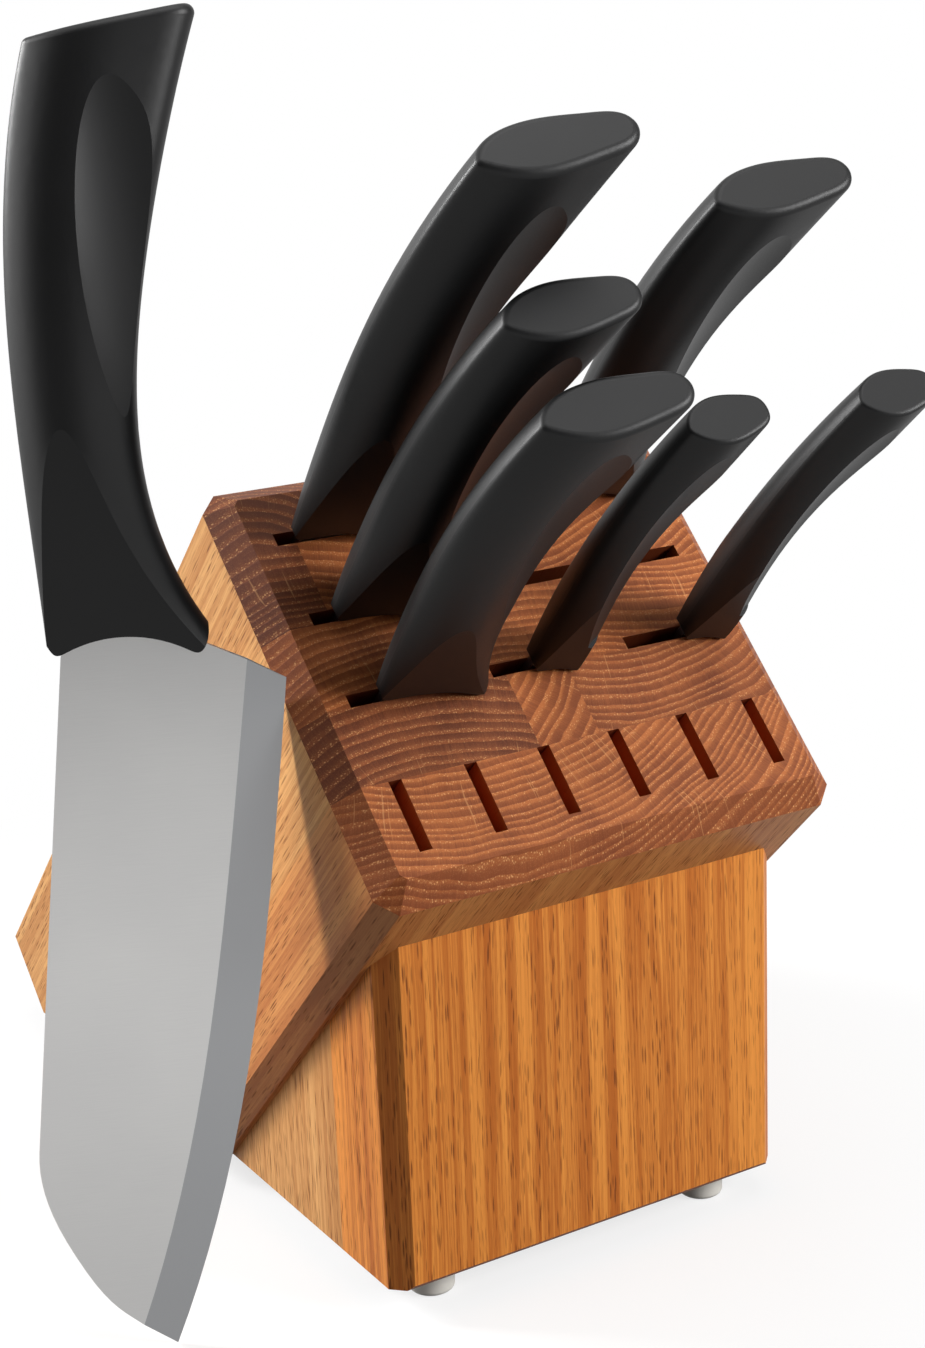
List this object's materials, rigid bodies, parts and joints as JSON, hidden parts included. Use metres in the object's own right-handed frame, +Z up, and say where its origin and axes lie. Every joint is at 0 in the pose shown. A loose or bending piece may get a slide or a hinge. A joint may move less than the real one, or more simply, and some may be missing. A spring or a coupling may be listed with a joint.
{
  "type": "knife block with knives",
  "caption": "Slanted laminated oak knife block on a wedge base, with black-handled knives in its slots and a wide cook's knife standing beside it.",
  "frame": {"origin": "on the worktop, in the middle of the whole set's footprint", "axes": "+Z up, +X to the right seen from the front, +Y to the back; the base's front panel looks to -Y and the slots open up and to the front"},
  "size_m": [0.1827, 0.2755, 0.2898],
  "materials": {
    "front_board": "clear satin oil",
    "second_stave_left": "clear satin oil",
    "second_stave_middle": "clear satin oil",
    "second_stave_right": "clear satin oil",
    "third_stave_left": "clear satin oil",
    "third_stave_right": "clear satin oil",
    "fourth_stave_left": "clear satin oil",
    "fourth_stave_right": "clear satin oil",
    "rear_stave_left": "clear satin oil",
    "rear_stave_right": "clear satin oil",
    "base_front": "clear satin oil",
    "base_middle": "clear satin oil",
    "base_rear": "clear satin oil",
    "dowels": "clear satin oil",
    "screw_steel": "zinc plated",
    "foot_plastic": "off-white soft plastic",
    "blade_steel": "satin ground",
    "handle_black": "fine moulded texture"
  },
  "bodies": {
    "block": {"front_board": "front_board", "second_stave_left": "second_stave_left", "second_stave_middle": "second_stave_middle", "second_stave_right": "second_stave_right", "third_stave_left": "third_stave_left", "third_stave_right": "third_stave_right", "fourth_stave_left": "fourth_stave_left", "fourth_stave_right": "fourth_stave_right", "rear_stave_left": "rear_stave_left", "rear_stave_right": "rear_stave_right", "base_front": "base_front", "base_middle": "base_middle", "base_rear": "base_rear", "dowels": "dowels", "foot_front_left": "foot_plastic", "foot_front_right": "foot_plastic", "foot_rear_left": "foot_plastic", "foot_rear_right": "foot_plastic", "foot_screws": "screw_steel"},
    "slicer_knife": {"slicer_blade": "blade_steel", "slicer_handle": "handle_black"},
    "chef_knife": {"chef_blade": "blade_steel", "chef_handle": "handle_black"},
    "carver_knife": {"carver_blade": "blade_steel", "carver_handle": "handle_black"},
    "utility_knife": {"utility_blade": "blade_steel", "utility_handle": "handle_black"},
    "petty_knife": {"petty_blade": "blade_steel", "petty_handle": "handle_black"},
    "paring_knife": {"paring_blade": "blade_steel", "paring_handle": "handle_black"},
    "cooks_knife": {"cooks_blade": "blade_steel", "cooks_handle": "handle_black"}
  },
  "joints": [
    {"name": "slicer_lift", "type": "slide", "parent": "block", "child": "slicer_knife", "axis": [0, -0.7071, 0.7071], "range_m": [0, 0.212]},
    {"name": "chef_lift", "type": "slide", "parent": "block", "child": "chef_knife", "axis": [0, -0.7071, 0.7071], "range_m": [0, 0.204]},
    {"name": "carver_lift", "type": "slide", "parent": "block", "child": "carver_knife", "axis": [0, -0.7071, 0.7071], "range_m": [0, 0.19]},
    {"name": "utility_lift", "type": "slide", "parent": "block", "child": "utility_knife", "axis": [0, -0.7071, 0.7071], "range_m": [0, 0.158]},
    {"name": "petty_lift", "type": "slide", "parent": "block", "child": "petty_knife", "axis": [0, -0.7071, 0.7071], "range_m": [0, 0.122]},
    {"name": "paring_lift", "type": "slide", "parent": "block", "child": "paring_knife", "axis": [0, -0.7071, 0.7071], "range_m": [0, 0.096]},
    {"name": "cooks_lift", "type": "slide", "parent": "block", "child": "cooks_knife", "axis": [0.066, 0.0887, 0.9939], "range_m": [0, 0.17]}
  ]
}
